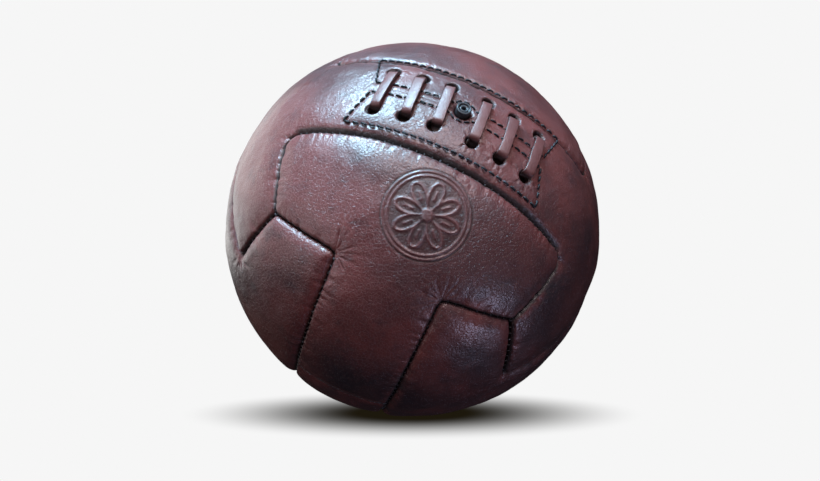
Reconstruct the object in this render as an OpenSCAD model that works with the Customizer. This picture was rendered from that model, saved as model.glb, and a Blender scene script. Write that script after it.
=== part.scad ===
// Laced leather ball: eleven hand-sewn leather panels over a rubber bladder.
// The pattern is laid out on a cube: x runs along the laced strip, y across it and z out of
// the laced side. Each side of the cube carries three strips, and each T-shaped panel is one
// outer strip with half of the next side's middle strip. The laced panel is a double T.

/* [Cover] */
// Outside diameter of the inflated ball
ball_d = 220; // [210:1:230]
// Thickness of the cover leather
leather_t = 2.4; // [2:0.1:2.8]
// Half the width of every middle strip, square to the strip
strip_half = 26.4; // [25:0.2:29]
// Gap between the edges of neighbouring panels
seam_gap = 0.9; // [0.9:0.05:1.2]
// Depth of the leather edges turned in along the seams, below the surface
turned_edge = 7; // [7:0.1:8]
// Thickness of the canvas lining behind each panel
lining_t = 1; // [0.6:0.1:1.2]

/* [Resting pose] */
// Turn of the pattern about X, as the ball lies
tilt_x = 51.1; // [-180:0.1:180]
// Turn of the pattern about Y, after the turn about X
tilt_y = 24.05; // [-90:0.05:90]
// Turn of the pattern about Z, after the other two
tilt_z = -3.45; // [-180:0.05:180]

/* [Bladder and valve] */
// Thickness of the rubber bladder
bladder_t = 1.2; // [0.8:0.1:2]
// Diameter of the rubber valve where it shows through the cover
valve_d = 7.4; // [6.8:0.1:8.6]
// Height of the valve above the cover
valve_rise = 2.6; // [1:0.1:3.2]
// Diameter of the rubber insert in the valve
core_d = 4.2; // [3.6:0.1:4.8]
// Diameter of the hole for the inflation needle
needle_d = 2; // [1.6:0.1:2.4]
// Diameter of the flange that seals the valve to the bladder
flange_d = 18; // [15:0.5:19]

/* [Lacing] */
// Sideways offset of the lacing from the middle of its strip
lace_shift = 2.3; // [0:0.1:2.6]
// Width of the lace
lace_w = 5.2; // [4.4:0.1:5.6]
// Thickness of the lace
lace_t = 1.5; // [1:0.1:1.6]
// Diameter of the lace holes
lace_hole_d = 6.2; // [5.6:0.1:6.8]
// Distance along the strip from the valve to the first hole on each side
first_hole = 9.6; // [9:0.1:11]
// Distance along the strip from one hole to the next
hole_pitch = 14.8; // [13:0.1:15]
// Distance from the opening to each row of holes
hole_row = 13.9; // [12:0.1:15]
// Length of each end of the lace, tucked in behind the cover
lace_tail = 13; // [8:0.5:13]

/* [Opening] */
// Half the length of the opening, and of the stitch row beside it
opening_half = 44.6; // [43:0.1:46]
// Width of the opening
opening_w = 0.6; // [0.3:0.1:1]
// Distance from the opening to the stitch row beside it
inner_row = 3.4; // [2.5:0.1:5]
// Distance from the opening to the outer stitch row
outer_row = 23.1; // [21:0.1:23.5]
// Half the length of the outer stitch row
outer_row_half = 49.6; // [48:0.1:52]
// Thickness of the leather facing behind the lace holes
facing_t = 1.4; // [1:0.1:1.4]
// Thickness of the tongue under the opening
tongue_t = 1.4; // [1:0.1:1.5]

/* [Thread] */
// Diameter of the waxed thread in the seams
seam_thread_d = 0.8; // [0.5:0.05:0.8]
// Diameter of the black thread around the opening
stitch_d = 0.7; // [0.5:0.05:0.9]

/* [Hidden] */
$fn = 64;
ball_r = ball_d / 2;
// Clearance between neighbouring pieces
slack = 0.1;
half_gap = seam_gap / 2;
cover_in = ball_r - leather_t;
edge_in = ball_r - turned_edge;
lining_out = cover_in - slack;
bladder_r = edge_in - 3 * slack;
run_r = lining_out - facing_t - slack - lace_t / 2;
tongue_out = run_r - lace_t / 2 - slack;
// The bars pass over the stitches beside the opening
bar_r = ball_r + stitch_d + 2 * slack + lace_t / 2;
// How far a bar or a run of the lace goes past the middle of its hole
turn_past = lace_t;
thread_r = (cover_in + edge_in) / 2;
// How far a facing or a panel edge reaches past its stitches
margin = 1.6;
facing_end = outer_row_half + margin;
// Distance from the middle of the strip to its turned-in edges
strip_clear = strip_half - half_gap - leather_t - slack;
// Turn that brings the lacing to its offset
lace_turn = asin(lace_shift / ball_r);
// Angle from the middle of a cube's edge to its corner, seen from the middle of the ball
corner_lat = atan(1 / sqrt(2));
// Angle by which each thread stops short of the next one
thread_trim = 1;
valve_r = valve_d / 2;
core_r = core_d / 2;
valve_top = ball_r + valve_rise;
valve_foot = bladder_r - bladder_t - 2;
leather = [0.40, 0.21, 0.13];
dark_leather = [0.29, 0.15, 0.10];
canvas = [0.78, 0.71, 0.58];
rubber = [0.09, 0.09, 0.09];
linen = [0.20, 0.15, 0.11];
black = [0.05, 0.05, 0.06];

// The two sides of the cube on each axis, the first one on the positive side
SIDES = [["right", "left"], ["crown", "chin"], ["lace", "heel"]];
SIGNS = [1, -1];
HOLES = [for (end = SIGNS, i = [0:2]) end * (first_hole + i * hole_pitch)];
// Pairs of axes that share the same layout: the first one's outer strips make the bars of
// panels whose stems lie on the second one's middle strips
PAIRS = [[0, 2], [1, 0], [2, 1]];

function side_name(axis, sign) = SIDES[axis][sign > 0 ? 0 : 1];
function pair_name(turn, bar, stem) =
    str(side_name(PAIRS[turn][0], bar), "_", side_name(PAIRS[turn][1], stem));
function is_laced(turn, stem) = turn == 0 && stem > 0;

// Each T panel as [third of a turn about the cube's diagonal, sign of its bar, of its stem]
TEES = [for (turn = [0:2], bar = SIGNS, stem = SIGNS) if (!is_laced(turn, stem)) [turn, bar, stem]];
// Each edge of the cube in the same form, and each side as [third of a turn, sign]
EDGES = [for (turn = [0:2], bar = SIGNS, stem = SIGNS) [turn, bar, stem]];
FACES = [for (turn = [0:2], sign = SIGNS) [turn, sign]];

function tee_node(t) = str("panel_", pair_name(t[0], t[1], t[2]));
function lining_node(t) = str("lining_", pair_name(t[0], t[1], t[2]));
function edge_node(t) = str("edge_thread_", pair_name(t[0], t[1], t[2]));
function face_node(f) = str("strip_thread_", side_name((2 + f[0]) % 3, f[1]));

function unit(v) = v / norm(v);

// Direction from the middle to a place on the laced side, by its distances from the valve
function lace_dir(x, y) = unit([x, y, sqrt(ball_r * ball_r - x * x - y * y)]);

// --- Placing ---

module at_rest() {
    rotate([tilt_x, tilt_y, tilt_z]) children();
}

// Moves the first panel's layout to the pair of sides that t names
module to_pair(t) {
    rotate(120 * t[0], [1, 1, 1])
        mirror([t[1] < 0 ? 1 : 0, 0, 0])
            mirror([0, 0, t[2] < 0 ? 1 : 0])
                children();
}

module to_face(f) {
    rotate(120 * f[0], [1, 1, 1])
        mirror([0, 0, f[1] < 0 ? 1 : 0])
            children();
}

// Brings the Z axis to the lacing's own middle line
module at_lacing() {
    rotate([-lace_turn, 0, 0]) children();
}

// Gives the children axes u, v and n: the columns of a turn
module along_axes(u, v, n) {
    multmatrix([
        [u[0], v[0], n[0], 0],
        [u[1], v[1], n[1], 0],
        [u[2], v[2], n[2], 0],
        [0, 0, 0, 1]
    ]) children();
}

// Stands the children at a place on the laced side, with Z out of the ball and X along the strip
module at_place(x, y) {
    out = lace_dir(x, y);
    along = unit([1, 0, 0] - out[0] * out);
    along_axes(along, cross(out, along), out) children();
}

// --- Cutting shapes ---

// The half of space past a plane, by the plane's normal and its distance from the middle
module beyond(normal, distance) {
    n = unit(normal);
    rotate([0, acos(n[2]), atan2(n[1], n[0])])
        translate([-ball_d, -ball_d, distance])
            cube([2 * ball_d, 2 * ball_d, ball_d]);
}

// A hollow ball, with its poles on the Y axis and its meridian's start facing down
module shell(outer, inner) {
    rotate([-90, 0, 0])
        rotate([0, 0, 90])
            difference() {
                sphere(outer);
                sphere(inner);
            }
}

// The outer strip of the right side, next to the laced side, cut back from its seams by inset
module bar_space(inset) {
    intersection() {
        beyond([1, 0, -1], inset);
        beyond([1, 1, 0], inset);
        beyond([1, -1, 0], inset);
    }
}

// The middle strip of the laced side and its way over the edge, from a place along the strip
module stem_space(inset, from) {
    intersection() {
        beyond([1, 0, 0], from);
        beyond([0, 1, 0], inset - strip_half);
        beyond([0, -1, 0], inset - strip_half);
    }
}

module tee_space(inset) {
    intersection() {
        beyond([0, 0, 1], strip_half + inset);
        union() {
            bar_space(inset);
            stem_space(inset, inset);
        }
    }
}

module laced_space(inset) {
    intersection() {
        beyond([0, 0, 1], strip_half + inset);
        union() {
            bar_space(inset);
            mirror([1, 0, 0]) bar_space(inset);
            stem_space(inset, -ball_d / 2);
        }
    }
}

// --- Leather and canvas ---

module tee_panel(t) {
    color(leather)
        at_rest()
            to_pair(t)
                difference() {
                    intersection() {
                        shell(ball_r, edge_in);
                        tee_space(half_gap);
                    }
                    intersection() {
                        shell(cover_in, edge_in - 1);
                        tee_space(half_gap + leather_t);
                    }
                }
}

module tee_lining(t) {
    color(canvas)
        at_rest()
            to_pair(t)
                intersection() {
                    shell(lining_out, lining_out - lining_t);
                    tee_space(half_gap + leather_t + slack);
                }
}

// Every cut that the lacing and the valve make in a piece of leather
module lace_holes() {
    for (x = HOLES, side = SIGNS)
        at_place(x, side * hole_row)
            translate([0, 0, edge_in - 1])
                cylinder(d = lace_hole_d, h = turned_edge + 3);
}

module valve_hole() {
    translate([0, 0, edge_in - 1]) cylinder(r = valve_r + 2 * slack, h = turned_edge + 3);
}

module opening() {
    translate([-opening_half, -opening_w / 2, edge_in - 1])
        cube([2 * opening_half, opening_w, turned_edge + 3]);
}

module lace_panel() {
    color(leather)
        at_rest()
            difference() {
                intersection() {
                    shell(ball_r, edge_in);
                    laced_space(half_gap);
                }
                intersection() {
                    shell(cover_in, edge_in - 1);
                    laced_space(half_gap + leather_t);
                }
                at_lacing() {
                    lace_holes();
                    valve_hole();
                    opening();
                }
            }
}

// The laced panel's lining leaves room for the facings and the lace between its two ends
module lace_lining() {
    window = facing_end + lace_tail / 2;
    color(canvas)
        at_rest()
            difference() {
                intersection() {
                    shell(lining_out, lining_out - lining_t);
                    laced_space(half_gap + leather_t + slack);
                }
                translate([-window, -ball_r, strip_half])
                    cube([2 * window, ball_d, ball_r]);
            }
}

// Half of the bow-tie under the upper row of holes, between the opening and its outer row
module facing_space(side_edge) {
    slant = atan2(outer_row_half - opening_half, outer_row - inner_row);
    reach = opening_half + margin - inner_row * tan(slant);
    intersection() {
        beyond([0, 1, 0], opening_w / 2);
        beyond([0, -1, 0], -side_edge);
        beyond([-cos(slant), sin(slant), 0], -reach * cos(slant));
        beyond([cos(slant), sin(slant), 0], -reach * cos(slant));
        beyond([0, 0, 1], ball_r / 2);
    }
}

module facing(side) {
    reach = min(outer_row + margin, strip_clear - side * lace_shift);
    color(dark_leather)
        at_rest()
            at_lacing()
                difference() {
                    intersection() {
                        shell(lining_out, lining_out - facing_t);
                        mirror([0, side < 0 ? 1 : 0, 0]) facing_space(reach);
                    }
                    lace_holes();
                    valve_hole();
                }
}

module tongue() {
    tongue_end = opening_half + margin;
    tongue_side = hole_row + lace_hole_d / 2;
    color(dark_leather)
        at_rest()
            at_lacing()
                difference() {
                    intersection() {
                        shell(tongue_out, tongue_out - tongue_t);
                        translate([-tongue_end, -tongue_side, 0])
                            cube([2 * tongue_end, 2 * tongue_side, ball_r]);
                    }
                    cylinder(r = flange_d / 2 + 3 * slack, h = ball_r);
                }
}

// --- Bladder and valve ---

module bladder() {
    color(rubber)
        at_rest()
            difference() {
                shell(bladder_r, bladder_r - bladder_t);
                at_lacing() cylinder(r = valve_r - 0.5, h = ball_r);
            }
}

// The hollow in the housing that the insert fills, a little larger than the insert
module core_shape(extra) {
    grip_z = (valve_foot + valve_top) / 2;
    translate([0, 0, valve_foot]) cylinder(r = core_r + extra, h = valve_rise + ball_r - valve_foot);
    translate([0, 0, grip_z - 1 - extra]) cylinder(r = core_r + 0.6 + extra, h = 2 + 2 * extra);
}

module valve_housing() {
    neck_r = valve_r - 0.5 - slack;
    flange_z = bladder_r + slack;
    foot_h = 1.2;
    color(rubber)
        at_rest()
            at_lacing()
                difference() {
                    union() {
                        translate([0, 0, valve_foot]) cylinder(r = valve_r + 3, h = foot_h);
                        translate([0, 0, valve_foot]) cylinder(r = neck_r, h = valve_top - valve_foot - 1);
                        translate([0, 0, flange_z]) cylinder(d = flange_d, h = 1.4);
                        translate([0, 0, flange_z]) cylinder(r = valve_r, h = valve_top - flange_z);
                    }
                    core_shape(slack / 2);
                    // Shallow dish around the insert, inside the raised rim
                    translate([0, 0, valve_top - 0.6]) cylinder(r = valve_r - 1.1, h = 1);
                }
}

module valve_core() {
    color(black)
        at_rest()
            at_lacing()
                difference() {
                    intersection() {
                        core_shape(0);
                        translate([0, 0, valve_foot]) cylinder(r = valve_r, h = valve_top - 0.8 - valve_foot);
                    }
                    translate([0, 0, valve_foot - 1]) cylinder(d = needle_d, h = ball_r);
                }
}

// --- Lace ---

module lace_section() {
    square([lace_t, lace_w], center = true);
}

// Sweeps a flat outline about the middle of the ball, from one direction to another
module arc_between(a, b, extra) {
    n = unit(cross(a, b));
    along_axes(a, cross(n, a), n)
        rotate([0, 0, -extra])
            rotate_extrude(angle = acos(a * b) + 2 * extra)
                children();
}

// One bar of the lace on the outside, straight across the strip between two holes
module lace_bar(x) {
    end = lace_dir(x, hole_row);
    reach = atan2(end[1], end[2]) + turn_past / ball_r * 180 / PI;
    rotate([0, 90, 0])
        rotate([0, 0, 180 - reach])
            rotate_extrude(angle = 2 * reach)
                rotate(asin(x / ball_r))
                    translate([bar_r, 0])
                        lace_section();
}

// The lace's way down through a hole, squeezed a little narrower there
module lace_leg(x, y) {
    leg_w = lace_w - 4 * slack;
    at_place(x, y)
        translate([-leg_w / 2, -lace_t / 2, run_r])
            cube([leg_w, lace_t, bar_r - run_r]);
}

// The lace's way behind the facings, between two places
module lace_run(from, to) {
    extra = turn_past / run_r * 180 / PI;
    arc_between(lace_dir(from[0], from[1]), lace_dir(to[0], to[1]), extra)
        translate([run_r, 0])
            lace_section();
}

module lace() {
    far = first_hole + 2 * hole_pitch;
    color(dark_leather)
        at_rest()
            at_lacing() {
                for (x = HOLES) {
                    lace_bar(x);
                    lace_leg(x, hole_row);
                    lace_leg(x, -hole_row);
                }
                // Slanted runs on each side of the valve, and a straight one past it
                for (end = SIGNS, i = [0:1]) {
                    near_x = end * (first_hole + i * hole_pitch);
                    lace_run([near_x + end * hole_pitch, -hole_row], [near_x, hole_row]);
                }
                lace_run([-first_hole, -hole_row], [first_hole, -hole_row]);
                for (end = SIGNS)
                    lace_run([end * far, hole_row], [end * (far + lace_tail), hole_row]);
            }
}

// --- Thread ---

// A row of stitches along the strip, at a distance from the opening
module stitch_row(y, half_length) {
    row_r = ball_r + stitch_d / 2 + slack / 2;
    ring_r = sqrt(row_r * row_r - y * y);
    reach = asin(half_length / ball_r);
    rotate([90, 0, 0])
        rotate([0, 0, 90 - reach])
            rotate_extrude(angle = 2 * reach)
                translate([ring_r, -y])
                    circle(d = stitch_d);
}

// The stitches around one facing: two rows along the strip and two short slanted ends
module stitching(side) {
    end_trim = 1.2;
    color(black)
        at_rest()
            at_lacing()
                mirror([0, side < 0 ? 1 : 0, 0]) {
                    // The row beside the opening stops on both sides of the valve
                    difference() {
                        stitch_row(inner_row, opening_half);
                        cylinder(r = valve_r + 1, h = 2 * ball_r);
                    }
                    stitch_row(outer_row, outer_row_half);
                    for (end = SIGNS)
                        arc_between(
                            lace_dir(end * opening_half, inner_row + end_trim),
                            lace_dir(end * outer_row_half, outer_row - end_trim),
                            0
                        )
                            translate([ball_r + stitch_d / 2 + slack / 2, 0])
                                circle(d = stitch_d);
                }
}

// The threads in the seams that run along the strips of one side, and across its middle
module face_threads(f) {
    ring_r = sqrt(thread_r * thread_r - strip_half * strip_half);
    half_turn = 45 - thread_trim;
    has_cross_seam = !(f[0] == 0 && f[1] > 0);
    cross_reach = asin(strip_half / thread_r) - thread_trim;
    color(linen)
        at_rest()
            to_face(f) {
                for (side = SIGNS)
                    rotate([90, 0, 0])
                        rotate([0, 0, 90 - half_turn])
                            rotate_extrude(angle = 2 * half_turn)
                                translate([ring_r, side * strip_half])
                                    circle(d = seam_thread_d);
                if (has_cross_seam)
                    arc_between(
                        [0, -sin(cross_reach), cos(cross_reach)],
                        [0, sin(cross_reach), cos(cross_reach)],
                        0
                    )
                        translate([thread_r, 0])
                            circle(d = seam_thread_d);
            }
}

// The two threads along one edge of the cube, from its corners to the stem that crosses it
module edge_threads(t) {
    near = asin(strip_half / thread_r) + thread_trim;
    far = corner_lat - thread_trim;
    color(linen)
        at_rest()
            to_pair(t)
                for (side = SIGNS)
                    arc_between(
                        [cos(near) / sqrt(2), side * sin(near), cos(near) / sqrt(2)],
                        [cos(far) / sqrt(2), side * sin(far), cos(far) / sqrt(2)],
                        0
                    )
                        translate([thread_r, 0])
                            circle(d = seam_thread_d);
}

lace_panel();
lace_lining();
bladder();
valve_housing();
valve_core();
tongue();
facing(1);  // upper_facing
facing(-1);  // lower_facing
lace();
stitching(1);  // upper_stitching
stitching(-1);  // lower_stitching
for (t = TEES) tee_panel(t);
for (t = TEES) tee_lining(t);
for (f = FACES) face_threads(f);
for (t = EDGES) edge_threads(t);
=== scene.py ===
import math

import bpy
import numpy as np
from mathutils import Euler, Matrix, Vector


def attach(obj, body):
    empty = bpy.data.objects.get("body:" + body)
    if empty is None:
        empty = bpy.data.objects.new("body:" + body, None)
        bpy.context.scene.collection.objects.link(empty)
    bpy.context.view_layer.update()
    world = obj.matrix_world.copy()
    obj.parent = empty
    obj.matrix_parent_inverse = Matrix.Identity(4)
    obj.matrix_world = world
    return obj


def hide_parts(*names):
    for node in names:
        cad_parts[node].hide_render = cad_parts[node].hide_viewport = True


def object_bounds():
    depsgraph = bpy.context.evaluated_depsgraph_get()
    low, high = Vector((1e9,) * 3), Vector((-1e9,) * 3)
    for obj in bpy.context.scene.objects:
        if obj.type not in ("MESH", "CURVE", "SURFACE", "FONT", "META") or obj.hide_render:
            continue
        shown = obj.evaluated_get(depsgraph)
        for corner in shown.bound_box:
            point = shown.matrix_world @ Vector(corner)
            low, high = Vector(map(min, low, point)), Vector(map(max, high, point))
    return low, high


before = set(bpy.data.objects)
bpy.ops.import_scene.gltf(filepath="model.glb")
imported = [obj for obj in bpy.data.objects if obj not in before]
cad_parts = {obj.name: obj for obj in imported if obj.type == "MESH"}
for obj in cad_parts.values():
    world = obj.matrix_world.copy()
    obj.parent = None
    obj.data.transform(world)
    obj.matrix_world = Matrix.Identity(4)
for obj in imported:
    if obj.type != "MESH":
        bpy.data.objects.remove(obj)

CAD_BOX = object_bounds()
MM = 0.001
SEED = 7

# --- Sizes in millimetres, the same as the CAD model's ---
BALL_R = max(CAD_BOX[1][i] - CAD_BOX[0][i] for i in range(3)) / 2 / MM
STRIP_HALF = 26.4
LEATHER = 2.4
LACE_SHIFT = 2.3
VALVE_R = 3.7
CORE_R = 2.1
VALVE_RISE = 2.6
NEEDLE_R = 1.0
FIRST_HOLE = 9.6
HOLE_PITCH = 14.8
HOLE_ROW = 13.9
HOLE_R = 3.1
LACE_W = 5.2
LACE_T = 1.5
LACE_TAIL = 13.0
OPENING_HALF = 44.6
INNER_ROW = 3.4
OUTER_ROW = 23.1
OUTER_ROW_HALF = 49.6
SEAM_THREAD_D = 0.8

# --- Sizes in millimetres that differ from the CAD model's, or that it doesn't have ---
# The black stitches are thicker than its 0.7 mm, as the photo shows them
STITCH_D = 1.15
INNER_STITCH_D = 0.9
STITCH_SLANT = 0.22
# The linings are thinner than its 1 mm and lie deeper, clear of the leather's dents
LINING_WINDOW = 57.7
LINING_GAP = 0.5
CANVAS_T = 0.8
RUN_DEPTH = 4.7
# The edges are turned in 7 mm there, but only as far as a view can reach here
EDGE_TURN_IN = 3.2
# How much the right-hand edge of each bar of the lace is raised, as a slope
LACE_ROLL = 0.16
# How far each bar of the lace lies to the right in its upper and its lower hole
LACE_SHIFTS = [(0.9, 0.5), (-0.6, 0.6), (-0.3, 0.9), (-0.4, 0.2), (-0.5, 0.3), (0.2, 0.4)]
POSE = np.array(Euler([math.radians(a) for a in (51.1, 24.05, -3.45)]).to_matrix())

# --- How the leather lies ---
SEAM_INSET = 0.2
ROLL = 2.1
PUFF_REACH = 15.0
PUFF_DEPTH = 1.25
# The laced panel's edge below the lacing, stiff with its facing, rolls over more widely
LACED_ROLL = 2.4
# How much some panels' edges stand above their neighbours', and how broadly they round off
EDGE_LIFTS = {"panel_chin_right": 0.8, "panel_chin_left": 0.7, "panel_lace_crown": 0.5}
SHOULDERS = {"panel_chin_right": 8.0, "panel_chin_left": 8.0, "panel_lace_crown": 4.0}
SHOULDER_STEEP = 0.5
SHOULDER_ROLL = 1.4
LIFT_REACH = 7.5
# Depth and reach of the pull of each seam stitch, the short wrinkles and the corners' creases
PULL_DEPTH = 0.5
PULL_REACH = 1.2
WRINKLE_DEPTH = 0.2
WRINKLE_LENGTH = 5.5
WRINKLE_REACH = 4.5
CREASE_DEPTH = 0.5
CREASE_REACH = 7.5
CREASE_END = 34
# Depth and reach of the sewn rows and the needle holes, and the rounding of the cut holes' rims
ROW_DEPTH = 0.3
ROW_REACH = 1.2
NEEDLE_DENT = 0.12
NEEDLE_REACH = 0.8
HOLE_RIM = 1.1
VALVE_RIM = 1.0
VALVE_GAP = 0.25
PUCKER_DEPTH = 0.07
DEEP_PUCKER = 0.2
# Darker places, most of them low and on the right: a place in the pattern's frame, the reach and the strength
DARK_PLACES = [
    ((50, -84, 48), 16, 1.0),
    ((75, -42, 68), 15, 1.0),
    ((85, -4, 70), 14, 0.8),
    ((3, -108, 20), 18, 0.7),
    ((10, -84, 71), 12, 0.35),
    ((30, -100, 20), 14, 0.7),
    ((-62, -84, 36), 5, 0.4),
    ((49, 47, 87), 14, 0.25),
]
STITCH_PITCH = 4.0
VALVE_CLEAR = 6.2
LACED_CORNER_R = 9.5
CORNER_R = 4.5
STRIP_ARC = math.asin(STRIP_HALF / BALL_R) * BALL_R
STRIP_RING = math.sqrt(BALL_R ** 2 - STRIP_HALF ** 2)
LACE_TURN = math.asin(LACE_SHIFT / BALL_R)
HOLES = [end * (FIRST_HOLE + i * HOLE_PITCH) for end in (-1, 1) for i in range(3)]
HOLE_PLACES = [(x, y) for x in HOLES for y in (-HOLE_ROW, HOLE_ROW)]
# Spacing of the meshes' points on the plain panels, the laced one and the one with the rosette
BACK_STEP = 0.65
LACED_STEP = 0.575
FRONT_STEP = 0.42
ROSETTE_AT = (4.6, -50.9, 97.4)
ROSETTE_R = 20.5
PETAL_START = 5.4
PETAL_LENGTH = 10.2


# --- Small vector tools ---

def unit(v):
    v = np.asarray(v, float)
    return v / np.linalg.norm(v, axis=-1, keepdims=True)


def smooth(x, low, high):
    """0 at low, 1 at high, and smooth between."""
    t = np.clip((x - low) / (high - low), 0, 1)
    return t * t * (3 - 2 * t)


def bell(x, width):
    return np.exp(-(x / width) ** 2)


def waves(p, wavelength, seed, count=16):
    """Smooth random relief from -1 to 1 or so: a sum of plane waves through space."""
    rng = np.random.default_rng(SEED + seed)
    out = np.zeros(len(p))
    for _ in range(count):
        way = unit(rng.normal(size=p.shape[1])) * 2 * math.pi / (wavelength * rng.uniform(0.7, 1.5))
        out += np.sin(p @ way + rng.uniform(0, 2 * math.pi))
    return out * math.sqrt(2 / count)


def arc(x):
    """The distance along the ball's surface, in mm, whose sine is x."""
    return np.arcsin(np.clip(x, -1, 1)) * BALL_R


def flattened(p, centre):
    """Directions near a place as flat distances from it, and the two directions they run in."""
    e1 = unit(np.cross([0, 1, 0], centre))
    e2 = np.cross(centre, e1)
    scale = BALL_R / np.maximum(p @ centre, 0.3)
    return p @ e1 * scale, p @ e2 * scale, e1, e2


LACING = np.array([
    [1, 0, 0],
    [0, math.cos(LACE_TURN), -math.sin(LACE_TURN)],
    [0, math.sin(LACE_TURN), math.cos(LACE_TURN)],
])


def lace_dir(x, y):
    """Directions of places on the laced side, given by their distances from the valve."""
    x, y = np.broadcast_arrays(np.asarray(x, float), np.asarray(y, float))
    z = np.sqrt(BALL_R ** 2 - x ** 2 - y ** 2)
    return np.stack([x, y, z], -1) / BALL_R @ LACING


def lace_place(p):
    """The other way: distances from the valve of directions on the laced side."""
    q = p @ LACING.T * BALL_R
    return q[:, 0], q[:, 1]


# --- The network of seams ---

def seam_field(p):
    """Distance of each direction to the nearest seam, and its place along that seam, in mm."""
    size = np.abs(p)
    n = size.argmax(1)
    row = np.arange(len(p))
    out, along, cross = size[row, n], size[row, (n + 1) % 3], size[row, (n + 2) % 3]
    far = 99.0
    lat, run = arc(cross), arc(along)
    middle = lat < STRIP_ARC
    laced = (n == 2) & (p[:, 2] > 0)
    strip_edge = np.abs(lat - STRIP_ARC)
    end_edge = np.where(middle, far, arc((out - along) / math.sqrt(2)))
    side_edge = np.hypot(arc((out - cross) / math.sqrt(2)), np.maximum(0, STRIP_ARC - run))
    side_edge = np.where(middle, far, side_edge)
    cross_seam = np.where(middle & ~laced, run, far)
    to_seams = np.stack([strip_edge, end_edge, side_edge, cross_seam])
    soft = 0.5
    d = -soft * np.log(np.exp(-to_seams / soft).sum(0))
    places = np.stack([np.arctan2(along, out) * STRIP_RING, lat - STRIP_ARC, run - STRIP_ARC, lat])
    return np.maximum(d, 0), places[to_seams.argmin(0), row]


def two_way_corners():
    """Every corner where a bar's end meets a strip's edge: its place, its two sides and rounding."""
    w = STRIP_HALF / BALL_R
    k = math.sqrt((1 - w * w) / 2)
    signs = [(sx, sy, sz) for sx in (-1, 1) for sy in (-1, 1) for sz in (-1, 1)]
    found = []
    for third in range(3):
        for sx, sy, sz in signs:
            corner = np.roll([sx * k, sy * w, sz * k], third)
            side = np.roll([0, sy, 0], third)
            over = np.roll([-sx / math.sqrt(2), 0, sz / math.sqrt(2)], third)
            radius = LACED_CORNER_R if third == 0 and sz > 0 else CORNER_R
            found.append((corner, side, over, radius))
    return found


CORNERS = two_way_corners()


def round_corners(p):
    """Moves directions near each two-way corner so that the seam runs round it."""
    p = p.copy()
    for corner, side, over, r in CORNERS:
        near = np.nonzero(p @ corner > math.cos(1.6 * r / BALL_R))[0]
        if not len(near):
            continue
        q = p[near]
        a = arc(q @ side) - STRIP_ARC
        b = arc(q @ over)
        u = r - np.minimum(np.maximum(np.abs(a), np.abs(b)), r)
        shift = ((r + u) - np.sqrt(r * r + 2 * r * u - u * u)) / 2
        way = unit(side - corner * (side @ corner)) + over
        p[near] = unit(q + shift[:, None] / BALL_R * way)
    return p


# --- Nets of directions joined by quads ---

class Net:
    """Directions from the ball's centre, joined by quads."""

    def __init__(self):
        self.points = np.zeros((0, 3))
        self.quads = np.zeros((0, 4), int)

    def add(self, points):
        """Adds a grid of directions and returns the grid of their ids."""
        first = len(self.points)
        self.points = np.concatenate([self.points, points.reshape(-1, 3)])
        return np.arange(first, len(self.points)).reshape(points.shape[:-1])

    def block(self, ids, keep=None):
        """Joins a grid of ids with quads that face outwards."""
        q = np.stack([ids[:-1, :-1], ids[1:, :-1], ids[1:, 1:], ids[:-1, 1:]], -1)
        q = q.reshape(-1, 4) if keep is None else q[keep]
        a, b, c = (self.points[q[len(q) // 2, i]] for i in range(3))
        if np.cross(b - a, c - b) @ a < 0:
            q = q[:, ::-1]
        self.quads = np.concatenate([self.quads, q])


def spaced(length, step, seam_low=True, seam_high=True):
    """Fractions from 0 to 1 along a length in mm, close together near an end that is a seam."""
    close = [0.16, 0.2, 0.24, 0.28, 0.32, 0.36, 0.4, 0.44, 0.48]
    close = [c for c in close if c < step]
    low = close if seam_low else []
    high = close[::-1] if seam_high else []
    rest = length - sum(low) - sum(high)
    count = max(2, round(rest / step))
    return np.concatenate([[0], np.cumsum(low + [rest / count] * count + high)]) / length


def strip_columns(step, inset):
    """Latitudes across the middle strip."""
    reach = (STRIP_ARC - inset) / BALL_R
    return reach * (2 * spaced(2 * reach * BALL_R, step) - 1)


def stem_grid(lat, theta):
    lat, theta = np.meshgrid(lat, theta)
    return np.stack([np.cos(lat) * np.sin(theta), np.sin(lat), np.cos(lat) * np.cos(theta)], -1)


def add_bar(net, edge_ids, lat, step, inset, side):
    """Adds the outer strip on one side, joined to a stem that ends in edge_ids."""
    gap = inset / BALL_R
    reach = math.pi / 4 - gap
    y = np.sin(lat)
    middle = np.arctan(y * math.sqrt(2) / np.sqrt(1 - y ** 2))
    left = reach - middle[-1]
    outer = middle[-1] + left * spaced(left * BALL_R, step)
    lon = np.concatenate([-outer[:0:-1], middle, outer[1:]])
    first = len(outer) - 1
    y_far = np.sin(lon) / np.sqrt(1 + np.cos(lon) ** 2)
    beyond = smooth(np.abs(y_far), y[-1], y[-1] + 2 * gap)
    low = (STRIP_ARC + inset) / BALL_R
    high = np.arctan(np.cos(lon)) - beyond * gap
    lat_grid = low + (high[:, None] - low) * spaced(55, step)
    lon_grid = np.broadcast_to(lon[:, None], lat_grid.shape)
    grid = np.stack([
        side * np.cos(lat_grid) * np.cos(lon_grid),
        np.cos(lat_grid) * np.sin(lon_grid),
        np.sin(lat_grid),
    ], -1)
    ids = net.add(grid)
    ids[first:first + len(edge_ids), -1] = edge_ids
    net.block(ids)


def tee_net(step, inset=SEAM_INSET):
    """A T panel: its bar on the right side, and its stem on half of the laced side's strip."""
    net = Net()
    lat = strip_columns(step, inset)
    start = inset / BALL_R
    theta = start + (math.pi / 4 - start) * spaced(86, step, True, False)
    ids = net.add(stem_grid(lat, theta))
    net.block(ids)
    add_bar(net, ids[-1], lat, step, inset, 1)
    return net


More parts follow.
